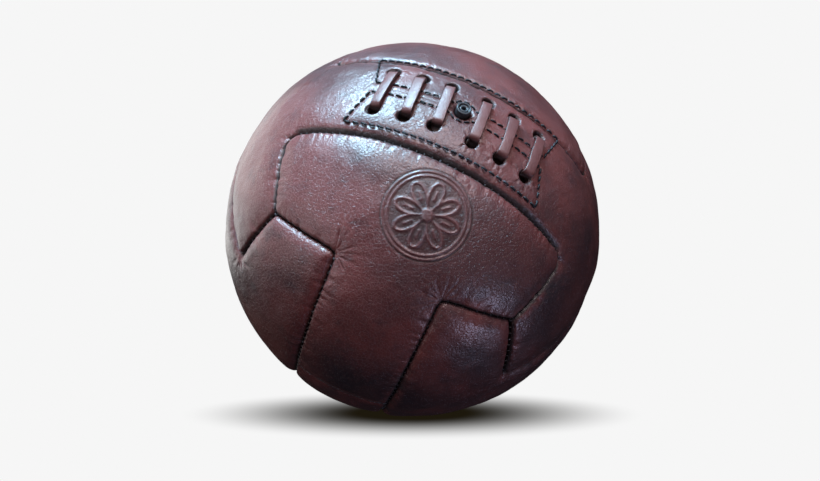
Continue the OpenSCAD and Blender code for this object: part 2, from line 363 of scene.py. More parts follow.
def ring_window(net, ids, centre, radius, window, rings):
    """Cuts a window out of a grid around a centre and fills it with rings down to a round hole."""
    u, v, e1, e2 = flattened(net.points[ids], centre)
    inside = (np.abs(u) < window) & (np.abs(v) < window) & (net.points[ids] @ centre > 0)
    r0, r1 = np.nonzero(inside.any(1))[0][[0, -1]]
    c0, c1 = np.nonzero(inside.any(0))[0][[0, -1]]
    last = np.concatenate([ids[r0:r1, c0], ids[r1, c0:c1], ids[r1:r0:-1, c1], ids[r0, c1:c0:-1]])
    u, v, _, _ = flattened(net.points[last], centre)
    angle = np.arctan2(v, u)
    to_u, to_v = radius * np.cos(angle) - u, radius * np.sin(angle) - v
    for i in range(1, rings + 1):
        t = 1 - (1 - i / rings) ** 1.7
        spot = (u + t * to_u)[:, None] * e1 + (v + t * to_v)[:, None] * e2
        new = net.add(unit(centre + spot / BALL_R))
        net.block(np.stack([np.append(last, last[0]), np.append(new, new[0])]))
        last = new
    return slice(r0, r1), slice(c0, c1)


def laced_net(step, inset=SEAM_INSET, windows=True):
    """The laced panel: a whole middle strip with a bar at each end, and its holes."""
    net = Net()
    lat = strip_columns(step, inset)
    theta = math.pi / 4 * (2 * spaced(172, step, False, False) - 1)
    ids = net.add(stem_grid(lat, theta))
    keep = np.ones((len(theta) - 1, len(lat) - 1), bool)
    holes = [(lace_dir(x, y), HOLE_R, 5.4) for x, y in HOLE_PLACES] if windows else []
    holes.append((lace_dir(0, 0), VALVE_R + VALVE_GAP, 6.0))
    for centre, radius, window in holes:
        keep[ring_window(net, ids, centre, radius, window, 8)] = False
    net.block(ids, keep)
    add_bar(net, ids[-1], lat, step, inset, 1)
    add_bar(net, ids[0], lat, step, inset, -1)
    return net


def lining_net():
    """The laced panel's lining, which leaves room for the facings and the lace."""
    net = laced_net(2.0, 3.0, windows=False)
    spot = net.points * BALL_R
    open_part = (np.abs(spot[:, 0]) < LINING_WINDOW) & (spot[:, 2] > STRIP_HALF)
    quads = net.quads[~open_part[net.quads].any(1)]
    used, ids = np.unique(quads, return_inverse=True)
    net.points, net.quads = net.points[used], ids.reshape(quads.shape)
    return net


# --- Relief of the leather ---

def seam_relief(d, s, seed, lift, shoulder, extra_roll):
    """Edges rolled down into the seams, pulled in at each stitch, with short wrinkles."""
    extra_roll = extra_roll + (SHOULDER_ROLL if shoulder else 0)
    roll = np.clip(1 - d / (ROLL + extra_roll), 0, 1)
    h = -(ROLL + 0.5 * extra_roll) * (1 - np.sqrt(1 - roll ** 2))
    if shoulder:
        slope = SHOULDER_STEEP * np.clip(1 - d / shoulder, 0, 1)
        h = 0.8 * h - shoulder / SHOULDER_STEEP * (1 - np.sqrt(1 - slope ** 2))
    h -= PUFF_DEPTH * np.clip(1 - d / PUFF_REACH, 0, 1) ** 2
    h += lift * bell(d, LIFT_REACH)
    pull = (0.5 + 0.5 * np.cos(2 * math.pi * s / STITCH_PITCH)) ** 2
    uneven = 0.75 + 0.25 * waves(np.stack([s, d * 0], 1), 17, seed)
    h -= PULL_DEPTH * uneven * pull * bell(d - 0.3, PULL_REACH)
    folds = waves(np.stack([s, d * 0.25], 1), WRINKLE_LENGTH, seed + 1)
    h -= WRINKLE_DEPTH * np.maximum(folds, 0) * bell(d - 1.5, WRINKLE_REACH)
    return h


def corner_creases(p, seed):
    """Folds that fan out from the inner corners of the T panels."""
    h = np.zeros(len(p))
    rng = np.random.default_rng(SEED + seed)
    for corner, side, over, r in CORNERS:
        start = rng.uniform(0, 2 * math.pi)
        near = np.nonzero(p @ corner > math.cos(CREASE_END / BALL_R))[0]
        if r == LACED_CORNER_R or not len(near):
            continue
        q = p[near]
        a, b = arc(q @ side) - STRIP_ARC, arc(q @ over)
        from_corner = np.hypot(a, b)
        angle = np.arctan2(b, a)
        open_side = smooth(-(a + b) / (from_corner + 0.01), -0.4, 0.2)
        fold = np.sin(13 * angle + start + 1.1 * np.sin(5 * angle + from_corner * 0.1))
        fold = fold + 0.3 * waves(q * BALL_R, 5, seed + 5)
        reach = smooth(from_corner, 1.5, 4) * np.exp(-from_corner / CREASE_REACH)
        h[near] -= CREASE_DEPTH * np.maximum(fold, 0) ** 2 * reach * open_side
    return h


def skin_relief(p, seed):
    """Slow unevenness of hide that has been used."""
    spot = p * BALL_R
    h = 0.16 * waves(spot, 46, seed) + 0.08 * waves(spot, 19, seed + 1)
    return h + 0.035 * waves(spot, 8, seed + 2) - 0.05


def row_y(x):
    """Distance of the inner stitch row from the opening: it swings out round the valve."""
    return INNER_ROW + (VALVE_CLEAR - INNER_ROW) * np.exp(-(np.abs(x) / 4.6) ** 4)


def stitch_lines():
    """The four lines sewn round each facing, as rows of places on the laced side."""
    x = np.linspace(-OPENING_HALF, OPENING_HALF, 400)
    inner = np.stack([x, row_y(x)], 1)
    x = np.linspace(-OUTER_ROW_HALF, OUTER_ROW_HALF, 200)
    outer = np.stack([x, np.full(200, OUTER_ROW)], 1)
    t = np.linspace(0, 1, 60)[:, None]
    ends = []
    for end in (-1, 1):
        near, far = np.array([end * OPENING_HALF, INNER_ROW]), np.array([end * OUTER_ROW_HALF, OUTER_ROW])
        ends.append(near + (far - near) * t)
    return [inner, outer] + ends


def needle_places(line):
    """The distance run at each point of a line, and that at each of its needle holes."""
    step = np.linalg.norm(np.diff(line, axis=0), axis=1)
    run = np.concatenate([[0], np.cumsum(step)])
    count = round(run[-1] / STITCH_PITCH)
    return run, np.linspace(0, run[-1], count + 1)


def gap_to_line(x, y, line):
    """Distance of places to a bent line, up to 9 mm."""
    gap = np.full(len(x), 9.0)
    for a, b in zip(line, line[1:]):
        way = b - a
        u, v = x - a[0], y - a[1]
        along = np.clip((u * way[0] + v * way[1]) / (way @ way), 0, 1)
        gap = np.minimum(gap, np.hypot(u - along * way[0], v - along * way[1]))
    return gap


def laced_relief(p, seed):
    """Rows pressed in by the stitches, puckers round the holes and a hollow round the valve, and a mark for
    soiling and painted shade.
    """
    x, y = lace_place(p)
    h = np.zeros(len(p))
    grime_and_shade = np.zeros(len(p))
    web = np.nonzero((p[:, 2] > 0.5) & (np.abs(x) < 70))[0]
    x, y = x[web], y[web]
    for side in (1, -1):
        for line in stitch_lines():
            run, at = needle_places(line)
            holes = np.stack([np.interp(at, run, line[:, i]) for i in range(2)], 1) * [1, side]
            near = np.nonzero((np.abs(x) < 54) & (y * side > -3))[0]
            gap = gap_to_line(x[near], y[near], line[::6] * [1, side])
            h[web[near]] -= ROW_DEPTH * bell(gap, ROW_REACH)
            # Painted shade and soiling along each sewn row
            grime_and_shade[web[near]] += 0.25 * bell(gap, 0.8)
            for hx, hy in holes:
                to_hole = np.hypot(x[near] - hx, y[near] - hy)
                h[web[near]] -= NEEDLE_DENT * bell(to_hole, NEEDLE_REACH)
    wrinkle = waves(p[web] * BALL_R, 3.4, seed + 9)
    h[web] += 0.03 * wrinkle * bell(np.abs(y) - 12, 9)
    for i, (hx, hy) in enumerate(HOLE_PLACES):
        u, v = x - hx, (y - hy) * np.sign(hy)
        rho, angle = np.hypot(u, v), np.arctan2(v, u)
        rim = np.clip(1 - (rho - HOLE_R) / HOLE_RIM, 0, 1)
        h[web] -= HOLE_RIM * (1 - np.sqrt(1 - rim ** 2))
        h[web] += 0.1 * bell(rho - 4.8, 1.5) * smooth(v, -6, 2)
        h[web] -= 0.4 * bell(rho - HOLE_R, 2.4) * smooth(-v, 0, 3)
        fold = np.sin(9 * angle + 2.1 * i + 0.9 * np.sin(3 * angle + i)) + 0.4 * wrinkle
        pucker = DEEP_PUCKER if hx > 0 and hy < 0 else PUCKER_DEPTH
        h[web] -= pucker * np.maximum(fold, 0) ** 2 * bell(rho - 5.6, 2.4)
        # Painted shade and soiling round each hole's rim
        grime_and_shade[web] += 0.8 * bell(rho - HOLE_R, 0.8)
    rho = np.hypot(x, y)
    rim = np.clip(1 - (rho - VALVE_R - VALVE_GAP) / VALVE_RIM, 0, 1)
    h[web] -= VALVE_RIM * (1 - np.sqrt(1 - rim ** 2))
    h[web] -= 0.9 * smooth(rho, 5.8, VALVE_R)
    # Painted shade and soiling round the valve
    grime_and_shade[web] += 0.5 * bell(rho - VALVE_R, 0.8)
    slit = np.abs(y) + 9 * smooth(np.abs(x), OPENING_HALF - 6, OPENING_HALF)
    h[web] -= 0.25 * bell(slit, 0.5)
    # Painted shade and soiling along the slit
    grime_and_shade[web] += 0.35 * bell(slit, 0.5)
    return h, grime_and_shade


def place_darkening(p):
    """How much darker each direction is made by the listed darker places."""
    dark = np.zeros(len(p))
    for place, reach, strength in DARK_PLACES:
        away = BALL_R * np.arccos(np.clip(p @ unit(place), -1, 1))
        dark += strength * np.exp(-(away / reach) ** 2)
    return dark


def rosette_relief(p):
    """An embossed rosette: eight veined petals round a boss, inside a double ring."""
    centre = unit(ROSETTE_AT)
    u, v, _, _ = flattened(p, centre)
    rho, angle = np.hypot(u, v), np.arctan2(v, u)
    wave = np.abs(np.cos(4 * angle))
    petal = PETAL_START + PETAL_LENGTH * wave ** 0.75
    slope = PETAL_LENGTH * 0.75 * (wave + 0.06) ** -0.25 * 4 * np.abs(np.sin(4 * angle))
    to_petal = (rho - petal) / np.sqrt(1 + (slope / (rho + 1)) ** 2)
    to_vein = np.abs(np.sin(4 * angle)) * rho / 4 + 9 * smooth(rho, 11.5, 13) + 9 * smooth(-rho, -7, -6)
    ridge = bell(rho - ROSETTE_R + 2.3, 0.62) + bell(rho - ROSETTE_R + 0.4, 0.5)
    ridge = ridge + bell(to_petal, 0.62) + 0.7 * bell(to_vein, 0.45) + smooth(-rho, -3.4, -2.4)
    ridge = np.clip(ridge, 0, 1)
    field = smooth(-rho, -ROSETTE_R - 0.6, -ROSETTE_R + 0.6)
    line = bell(rho - ROSETTE_R - 0.7, 0.5)
    h = 0.6 * ridge - 0.4 * field - 0.3 * line
    grime_and_shade = np.clip(0.55 * field * (1 - ridge) + 0.8 * line, 0, 1) - 0.5 * ridge
    return np.where(p @ centre > 0.9, h, 0), np.where(p @ centre > 0.9, grime_and_shade, 0)


# --- Meshes ---

def make_mesh(name, points, faces, material, **attributes):
    """A mesh object from points in mm in the pattern's frame, set at rest in the row's frame."""
    data = bpy.data.meshes.new(name)
    faces = np.asarray(faces)
    data.vertices.add(len(points))
    data.vertices.foreach_set("co", (points @ POSE.T * MM).ravel())
    count, sides = faces.shape
    data.loops.add(count * sides)
    data.loops.foreach_set("vertex_index", faces.ravel())
    data.polygons.add(count)
    data.polygons.foreach_set("loop_start", np.arange(0, count * sides, sides))
    for key, values in attributes.items():
        layer = data.attributes.new(key, "FLOAT", "POINT")
        layer.data.foreach_set("value", np.asarray(values, float))
    data.polygons.foreach_set("use_smooth", np.full(count, True))
    data.update(calc_edges=True)
    data.validate()
    data.materials.append(material)
    piece = bpy.data.objects.new(name, data)
    bpy.context.collection.objects.link(piece)
    return piece


def settle(piece, slot, *nodes):
    """Sets what a piece rides on and hides the CAD nodes that it stands for; slot is not used."""
    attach(piece, "root")
    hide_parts(*nodes)


def open_rim(quads):
    """The edges that belong to one quad only, in the direction in which that quad runs."""
    edges = np.concatenate([quads[:, [i, (i + 1) % 4]] for i in range(4)])
    _, first, count = np.unique(np.sort(edges, 1), axis=0, return_index=True, return_counts=True)
    return edges[first[count == 1]]


def turn_in_edges(points, quads, marks, depths):
    """Adds the walls below every open edge: the turned-in edges and the sides of the holes."""
    rim = open_rim(quads)
    used, local = np.unique(rim, return_inverse=True)
    local = local.reshape(rim.shape)
    level = used
    top = points[used]
    size = np.linalg.norm(top, axis=1, keepdims=True)
    for depth in depths:
        ids = np.arange(len(points), len(points) + len(used))
        points = np.concatenate([points, top * (1 - depth / size)])
        marks = {key: np.concatenate([values, values[used]]) for key, values in marks.items()}
        a, b = level[local[:, 0]], level[local[:, 1]]
        c, d = ids[local[:, 1]], ids[local[:, 0]]
        quads = np.concatenate([quads, np.stack([b, a, d, c], 1)])
        level = ids
    return points, quads, marks


def placed(net, turn, bar_sign, stem_sign):
    """A net turned and mirrored to one of its places on the ball, its quads still facing out."""
    quads = net.quads if bar_sign * stem_sign > 0 else net.quads[:, ::-1]
    return np.roll(net.points * [bar_sign, 1, stem_sign], turn, axis=1), quads


def leather_panel(name, net, place, material, seed):
    """One cover panel with its rolled edges, named after the CAD panel that it stands for."""
    p, quads = placed(net, *place)
    d, s = seam_field(p)
    _, y = lace_place(p)
    below_laces = smooth(-y, 0, 8) * smooth(p[:, 2], 0.7, 0.74) if name == "lace_panel" else 0
    lift, shoulder = EDGE_LIFTS.get(name, 0), SHOULDERS.get(name, 0)
    h = seam_relief(d, s, seed, lift, shoulder, LACED_ROLL * below_laces)
    h = h + skin_relief(p, seed) + corner_creases(p, seed)
    extra, grime_and_shade = 0, np.zeros(len(p))
    if name == "lace_panel":
        extra, grime_and_shade = laced_relief(p, seed)
        # Painted shade where the laced panel's edge rolls over below the lacing, down to the seam
        grime_and_shade = grime_and_shade + 0.95 * below_laces * smooth(-d, -3.4, -1.4)
    if name == "panel_lace_chin":
        extra, grime_and_shade = rosette_relief(p)
    points = round_corners(p) * (BALL_R + (h + extra))[:, None]
    marks = {"seam": d, "grime_and_shade": grime_and_shade, "place_darkening": place_darkening(p)}
    points, quads, marks = turn_in_edges(points, quads, marks, (0.5, EDGE_TURN_IN))
    settle(make_mesh(name + "_leather", points, quads, material, **marks), "leather", name)


def lining_piece(name, net, place, material):
    """A closed sheet of canvas under one panel."""
    p, quads = placed(net, *place)
    inner = quads[:, ::-1]
    d, _ = seam_field(p)
    top = BALL_R - LEATHER - LINING_GAP - PUFF_DEPTH * np.clip(1 - d / PUFF_REACH, 0, 1) ** 2
    p = round_corners(p)
    points, quads, _ = turn_in_edges(p * top[:, None], quads, {}, (CANVAS_T,))
    count = len(p)
    rim = np.unique(open_rim(net.quads))
    ids = np.full(count, -1)
    ids[rim] = np.arange(count, count + len(rim))
    rest = np.nonzero(ids < 0)[0]
    ids[rest] = np.arange(len(points), len(points) + len(rest))
    points = np.concatenate([points, p[rest] * (top[rest, None] - CANVAS_T)])
    quads = np.concatenate([quads, ids[inner]])
    settle(make_mesh(name + "_canvas", points, quads, material), "canvas", name)


PANELS = {
    "panel_right_heel": (0, 1, -1),
    "panel_left_heel": (0, -1, -1),
    "panel_crown_right": (1, 1, 1),
    "panel_crown_left": (1, 1, -1),
    "panel_chin_right": (1, -1, 1),
    "panel_chin_left": (1, -1, -1),
    "panel_lace_crown": (2, 1, 1),
    "panel_lace_chin": (2, 1, -1),
    "panel_heel_crown": (2, -1, 1),
    "panel_heel_chin": (2, -1, -1),
}


def make_panels(leather, canvas):
    back, front, sheet = tee_net(BACK_STEP), tee_net(FRONT_STEP), tee_net(2.5, 3.0)
    leather_panel("lace_panel", laced_net(LACED_STEP), (0, 1, 1), leather, 0)
    lining_piece("lace_lining", lining_net(), (0, 1, 1), canvas)
    for i, (name, place) in enumerate(PANELS.items()):
        net = front if name == "panel_lace_chin" else back
        leather_panel(name, net, place, leather, 10 * (i + 1))
        lining_piece(name.replace("panel", "lining"), sheet, place, canvas)


# --- Swept pieces: lace and threads ---

def through(knots, step):
    """A smooth run of points through rows of knots, about a step apart by their first 3 columns."""
    knots = np.asarray(knots, float)
    padded = np.concatenate([[2 * knots[0] - knots[1]], knots, [2 * knots[-1] - knots[-2]]])
    out = []
    for a, b, c, d in zip(padded, padded[1:], padded[2:], padded[3:]):
        count = max(1, round(np.linalg.norm((c - b)[:3]) / step))
        t = (np.arange(count) / count)[:, None]
        square, cube = 2 * a - 5 * b + 4 * c - d, 3 * b - a - 3 * c + d
        out.append(0.5 * (2 * b + (c - a) * t + square * t ** 2 + cube * t ** 3))
    return np.concatenate(out + [knots[-1:]])


def sweep(path, wide, section):
    """Points and quads of a closed tube. section gives offsets (across, out) for each path point."""
    forward = unit(np.gradient(path, axis=0))
    out = unit(np.cross(forward, wide))
    wide = np.cross(out, forward)
    points = path[:, None] + section[:, :, :1] * wide[:, None] + section[:, :, 1:] * out[:, None]
    rows, around = section.shape[:2]
    ids = np.arange(rows * around).reshape(rows, around)
    ids = np.concatenate([ids, ids[:, :1]], 1)
    quads = np.stack([ids[:-1, :-1], ids[:-1, 1:], ids[1:, 1:], ids[1:, :-1]], -1).reshape(-1, 4)
    caps = []
    for row, flip in ((ids[0, :-1], 1), (ids[-1, :-1], -1)):
        half = around // 2
        for i in range(half - 1):
            cap = [row[i], row[i + 1], row[around - 2 - i], row[around - 1 - i]]
            caps.append(cap[::-flip])
    return points.reshape(-1, 3), np.concatenate([quads, np.array(caps)])


def joined(parts):
    """Several sets of points and quads as one."""
    first = 0
    points, quads = [], []
    for p, q in parts:
        points.append(p)
        quads.append(q + first)
        first += len(p)
    return np.concatenate(points), np.concatenate(quads)


def round_section(rows, around, radius, lobes, turns):
    """A round thread of twisted plies, tapered at both ends."""
    t = np.linspace(0, 1, rows)[:, None]
    angle = np.arange(around) / around * 2 * math.pi
    taper = np.sqrt(np.clip(1 - np.abs(2 * t - 1) ** 3.2, 0.06, 1))
    r = radius * taper * (1 + 0.16 * np.cos(lobes * angle - turns * 2 * math.pi * t))
    return np.stack([r * np.cos(angle), r * np.sin(angle)], -1)


def lace_knots():
    """The lace's whole way: place on the laced side, height, and the way its width points."""
    knots = []

    def add(x, y, h, wx, wy):
        roll = LACE_ROLL if h > 0 else 0
        wide = unit(lace_dir(x + wx, y + wy) - lace_dir(x, y)) + roll * lace_dir(x, y)
        knots.append(np.concatenate([lace_dir(x, y) * (BALL_R + h), unit(wide)]))

    def hole(x, side, going_in, shift):
        steps = [(9.7, 1.2), (10.9, 0.95), (11.65, 0.1), (11.85, -1.2), (12.0, -2.8)]
        for y, h in steps if going_in else steps[::-1]:
            add(x + shift, side * y, h, 0.5, 0)

    def bar(x, start):
        shifts = LACE_SHIFTS[xs.index(x)][::start]
        hole(x, start, False, shifts[0])
        for y in (7.5, 3.7, 0, -3.7, -7.5):
            shift = (shifts[0] + shifts[1]) / 2 + (shifts[0] - shifts[1]) / 2 * y / 10
            add(x + shift, start * y, 1.3 + 0.25 * (1 - (y / 9) ** 2), 0.5, 0)
        hole(x, -start, True, shifts[1])

    def next_bar(before, after, start):
        add(before + 3.7, -start * HOLE_ROW / 2, -RUN_DEPTH, 0.45, -0.2 * start)
        add(after - 3.7, start * HOLE_ROW / 2, -RUN_DEPTH, 0.45, -0.2 * start)
        bar(after, start)

    xs = sorted(HOLES)
    far = xs[0] - LACE_TAIL
    for x in (far, far + LACE_TAIL / 2):
        add(x, HOLE_ROW, -RUN_DEPTH, 0, 0.5)
    bar(xs[0], 1)
    next_bar(xs[0], xs[1], 1)
    next_bar(xs[1], xs[2], 1)
    for x in (-4.5, 0, 4.5):
        add(x, -HOLE_ROW, -RUN_DEPTH, 0, 0.5)
    bar(xs[3], -1)
    next_bar(xs[3], xs[4], -1)
    next_bar(xs[4], xs[5], -1)
    far = xs[5] + LACE_TAIL
    for x in (far - LACE_TAIL / 2, far):
        add(x, HOLE_ROW, -RUN_DEPTH, 0, 0.5)
    return np.array(knots)


def make_lace(material):
    """One flat thong through all twelve holes, with slightly rounded cut edges."""
    run = through(lace_knots(), 0.55)
    path, wide = run[:, :3], unit(run[:, 3:])
    half_w, half_t, edge = LACE_W / 2, LACE_T / 2, 0.28
    corners = [(1, 1), (-1, 1), (-1, -1), (1, -1)]
    outline = []
    for i, (a, b) in enumerate(corners):
        x, y = a * (half_w - edge), b * (half_t - edge)
        for turn in (0, 45, 90):
            angle = math.radians(turn + 90 * i)
            outline.append((x + edge * math.cos(angle), y + edge * math.sin(angle)))
        outline.append((x * 0.3, b * half_t) if i % 2 == 0 else (a * half_w, 0))
    section = np.tile(np.array(outline), (len(path), 1, 1))
    width = 1 + 0.035 * waves(path, 14, 901)
    section[:, :, 0] *= width[:, None]
    section[:, :, 1] += 0.05 * waves(path, 9, 902)[:, None]
    points, quads = sweep(path, wide, section)
    high = np.linalg.norm(points, axis=1) - BALL_R
    cut = np.tile(smooth(np.abs(np.array(outline)[:, 0]), half_w - 0.25, half_w - 0.05), len(path))
    # The lace's mark for painted shade and soiling where it sinks into the holes
    piece = make_mesh("lace_thong", points, quads, material, dip=smooth(-high, -0.6, 1.0), cut=cut)
    settle(piece, "lace_thong", "lace")


def rim_stitch(line, run, start, end, side, size):
    """One stitch between two needle holes, lying a little proud of the leather."""
    at = np.linspace(start + 0.4, end - 0.4, 15)
    x, y = (np.interp(at, run, line[:, i]) for i in range(2))
    t = np.linspace(-1, 1, 15)
    h = 0.25 - 0.75 * np.abs(t) ** 3
    way = np.stack([np.gradient(x), np.gradient(y)], 1)
    way = way / np.linalg.norm(way, axis=1, keepdims=True)
    x, y = x - STITCH_SLANT * t * way[:, 1], y + STITCH_SLANT * t * way[:, 0]
    path = lace_dir(x, y * side) * (BALL_R + h)[:, None]
    wide = np.cross(path, np.gradient(path, axis=0))
    return sweep(path, wide, round_section(15, 10, size / 2, 2, 1.3))


def make_rim_stitches(material):
    for side, name in ((1, "upper_stitching"), (-1, "lower_stitching")):
        parts = []
        for i, line in enumerate(stitch_lines()):
            run, at = needle_places(line)
            size = INNER_STITCH_D if i == 0 else STITCH_D
            parts += [rim_stitch(line, run, a, b, side, size) for a, b in zip(at, at[1:])]
        points, quads = joined(parts)
        settle(make_mesh(name + "_thread", points, quads, material), "black_thread", name)


def seam_stitch(p, across):
    """One stitch across a seam, deep between the two rolled edges."""
    t = np.linspace(-1, 1, 7)
    path = round_corners(unit(p + across * t[:, None] * 1.25 / BALL_R))
    h = -3.0 - 0.9 * np.abs(t) ** 3
    path = path * (BALL_R + h)[:, None]
    wide = np.cross(path, np.gradient(path, axis=0))
    return sweep(path, wide, round_section(7, 8, SEAM_THREAD_D / 2, 2, 0.6))


def stitch_places(reach):
    count = int(reach / STITCH_PITCH)
    return np.arange(-count, count + 1) * STITCH_PITCH


def make_seam_stitches(material):
    """The stitches in the seams along the strips and across their middles, and in the bars' ends."""
    strip_parts, edge_parts = [], []
    strip_lat = STRIP_ARC / BALL_R
    for n in range(3):
        out, along, cross = np.eye(3)[n], np.eye(3)[(n + 1) % 3], np.eye(3)[(n + 2) % 3]
        for face in (1, -1):
            for side in (1, -1):
                for place in stitch_places(math.pi / 4 * STRIP_RING):
                    t = place / STRIP_RING
                    ring = face * out * math.cos(t) + along * math.sin(t)
                    p = ring * math.cos(strip_lat) + side * cross * math.sin(strip_lat)
                    way = side * cross * math.cos(strip_lat) - ring * math.sin(strip_lat)
                    strip_parts.append(seam_stitch(p, way))
            if n == 2 and face > 0:
                continue
            for place in stitch_places(STRIP_ARC - 2):
                t = place / BALL_R
                strip_parts.append(seam_stitch(face * out * math.cos(t) + cross * math.sin(t), along))
        for sx in (1, -1):
            for sz in (1, -1):
                ridge = np.roll([sx, 0, sz], n) / math.sqrt(2)
                over = np.roll([-sx, 0, sz], n) / math.sqrt(2)
                side = np.roll([0.0, 1, 0], n)
                length = math.atan(1 / math.sqrt(2)) * BALL_R - STRIP_ARC
                for place in np.arange(1, int(length / STITCH_PITCH) + 1) * STITCH_PITCH:
                    for sy in (1, -1):
                        t = (STRIP_ARC + place) / BALL_R
                        edge_parts.append(seam_stitch(ridge * math.cos(t) + sy * side * math.sin(t), over))
    names = sorted(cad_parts)
    for start, parts in (("strip_thread", strip_parts), ("edge_thread", edge_parts)):
        points, quads = joined(parts)
        nodes = [name for name in names if name.startswith(start)]
        settle(make_mesh(start + "_stitches", points, quads, material), "seam_thread", *nodes)


# --- Valve ---

def lathe(profile):
    """Turns a closed profile of (radius, height above the ball) about the valve's axis."""
    around = 72
    axis = lace_dir(0, 0)
    e1 = np.array([1.0, 0, 0])
    e2 = np.cross(axis, e1)
    r, h = np.array(profile).T
    angle = np.arange(around) / around * 2 * math.pi
    ring = np.cos(angle)[:, None] * e1 + np.sin(angle)[:, None] * e2
    points = r[:, None, None] * ring + (BALL_R + h)[:, None, None] * axis
    ids = np.arange(len(r) * around).reshape(len(r), around)
    ids = np.concatenate([ids, ids[:, :1]], 1)
    ids = np.concatenate([ids, ids[:1]])
    quads = np.stack([ids[:-1, :-1], ids[1:, :-1], ids[1:, 1:], ids[:-1, 1:]], -1)
    return points.reshape(-1, 3), quads.reshape(-1, 4)


def make_valve(rubber, insert):
    """The rubber button with its hollow, and the softer insert round the needle hole."""
    top = VALVE_RISE
    foot = -10.0
    inner = CORE_R + 0.05
    housing = [
        (inner, foot), (VALVE_R, foot), (VALVE_R, 0), (VALVE_R, top - 0.45), (VALVE_R - 0.06, top - 0.2),
        (VALVE_R - 0.2, top - 0.05), (VALVE_R - 0.4, top), (VALVE_R - 0.75, top), (VALVE_R - 0.9, top - 0.06),
        (VALVE_R - 1.0, top - 0.2), (VALVE_R - 1.06, top - 0.6), (VALVE_R - 1.15, top - 0.75),
        (inner + 0.2, top - 0.78), (inner + 0.05, top - 0.9), (inner, top - 1.2),
    ]
    core = [
        (NEEDLE_R, foot), (CORE_R, foot), (CORE_R, top - 1.2), (CORE_R, top - 0.62),
        (CORE_R - 0.07, top - 0.44), (CORE_R - 0.22, top - 0.36), (CORE_R - 0.4, top - 0.32),
        (NEEDLE_R + 0.42, top - 0.36), (NEEDLE_R + 0.25, top - 0.48), (NEEDLE_R + 0.12, top - 0.8),
        (NEEDLE_R + 0.05, top - 1.3), (NEEDLE_R, top - 1.8),
    ]
    points, quads = lathe(housing)
    settle(make_mesh("valve_button", points, quads, rubber), "rubber", "valve_housing")
    points, quads = lathe(core)
    settle(make_mesh("valve_insert", points, quads, insert), "valve_insert", "valve_core")


# --- Materials ---

class Recipe:
    """Builds one material or world. A value is a number, a colour or another node's output."""

    def __init__(self, name, kind=bpy.data.materials):
        self.made = kind.new(name)
        self.made.use_nodes = True
        self.tree = self.made.node_tree
        self.tree.nodes.clear()
        self.coordinates = self.node("ShaderNodeTexCoord", {}).outputs
        self.where = self.coordinates["Object"]

    def node(self, kind, inputs, **settings):
        made = self.tree.nodes.new(kind)
        for key, value in settings.items():
            setattr(made, key, value)
        for key, value in inputs.items():
            if isinstance(value, bpy.types.NodeSocket):
                self.tree.links.new(value, made.inputs[key])
            else:
                made.inputs[key].default_value = value
        return made

    def noise(self, size_mm, detail=3.0, rough=0.55, w=0.0, where=None, distortion=0.0, output="Fac"):
        inputs = {
            "Vector": where or self.where, "W": w, "Scale": 1 / (size_mm * MM), "Detail": detail,
            "Roughness": rough, "Distortion": distortion,
        }
        return self.node("ShaderNodeTexNoise", inputs, noise_dimensions="4D").outputs[output]

    def cells(self, size_mm, where):
        inputs = {"Vector": where, "Scale": 1 / (size_mm * MM)}
        return self.node("ShaderNodeTexVoronoi", inputs, feature="DISTANCE_TO_EDGE").outputs["Distance"]

    def vector(self, operation, a, b=(0.0, 0.0, 0.0)):
        return self.node("ShaderNodeVectorMath", {0: a, 1: b}, operation=operation).outputs

    def ramp(self, value, low, high, to_low=0.0, to_high=1.0):
        inputs = {"Value": value, "From Min": low, "From Max": high, "To Min": to_low, "To Max": to_high}
        return self.node("ShaderNodeMapRange", inputs, interpolation_type="SMOOTHSTEP").outputs["Result"]

    def math(self, operation, a, b=0.0):
        return self.node("ShaderNodeMath", {0: a, 1: b}, operation=operation).outputs[0]

    def mix(self, part, a, b):
        return self.node("ShaderNodeMix", {0: part, 6: a, 7: b}, data_type="RGBA").outputs[2]

    def mark(self, name):
        return self.node("ShaderNodeAttribute", {}, attribute_name=name).outputs["Fac"]

    def shaken(self, size_mm, amount_mm, w=0.0):
        """The coordinates pushed about by noise, so that cells aren't regular."""
        push = self.noise(size_mm, 2.0, 0.5, w, output="Color")
        centred = self.vector("SUBTRACT", push, (0.5, 0.5, 0.5))[0]
        inputs = {0: centred, 1: (2 * amount_mm * MM,) * 3, 2: self.where}
        return self.node("ShaderNodeVectorMath", inputs, operation="MULTIPLY_ADD").outputs[0]

    def bumped(self, height, distance_mm, before=None, strength=1.0):
        inputs = {"Height": height, "Distance": distance_mm * MM, "Strength": strength}
        if before is not None:
            inputs["Normal"] = before
        return self.node("ShaderNodeBump", inputs).outputs["Normal"]

    def surface(self, **inputs):
        inputs = {key.replace("_", " "): value for key, value in inputs.items()}
        shader = self.node("ShaderNodeBsdfPrincipled", inputs)
        self.node("ShaderNodeOutputMaterial", {"Surface": shader.outputs["BSDF"]})
        return self.made


BROWN = (0.085, 0.026, 0.028, 1)
RED_BROWN = (0.182, 0.048, 0.046, 1)
TAN = (0.21, 0.09, 0.086, 1)
BLUE_BLACK = (0.015, 0.013, 0.021, 1)
NEAR_BLACK = (0.006, 0.005, 0.005, 1)


